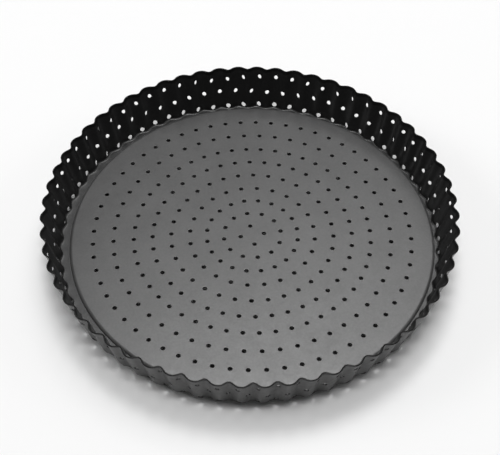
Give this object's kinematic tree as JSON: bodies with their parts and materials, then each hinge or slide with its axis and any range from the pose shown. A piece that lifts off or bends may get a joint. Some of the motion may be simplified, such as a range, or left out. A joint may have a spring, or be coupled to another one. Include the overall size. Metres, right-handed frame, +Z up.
{
  "type": "loose-bottom tart pan",
  "caption": "Round fluted tart pan in perforated coated steel: a flared side ring that stands on an inner ledge, and a flat loose base that lies on the ledge and lifts out.",
  "frame": {"origin": "centre of the ring's stand, on the surface that the pan stands on", "axes": "+Z up along the ring's axis, +X through a flute crest that has a hole in the lowest row"},
  "size_m": [0.24, 0.24, 0.031],
  "materials": {
    "ring_coating": "near-black satin non-stick coating on pressed sheet steel",
    "base_coating": "dark grey semi-matte non-stick coating on flat sheet steel"
  },
  "bodies": {
    "ring": {"fluted_ring": "ring_coating"},
    "base": {"loose_base": "base_coating"}
  },
  "joints": [
    {"name": "base_lift", "type": "slide", "parent": "ring", "child": "base", "axis": [0, 0, 1], "range_m": [0, 0.06]}
  ]
}
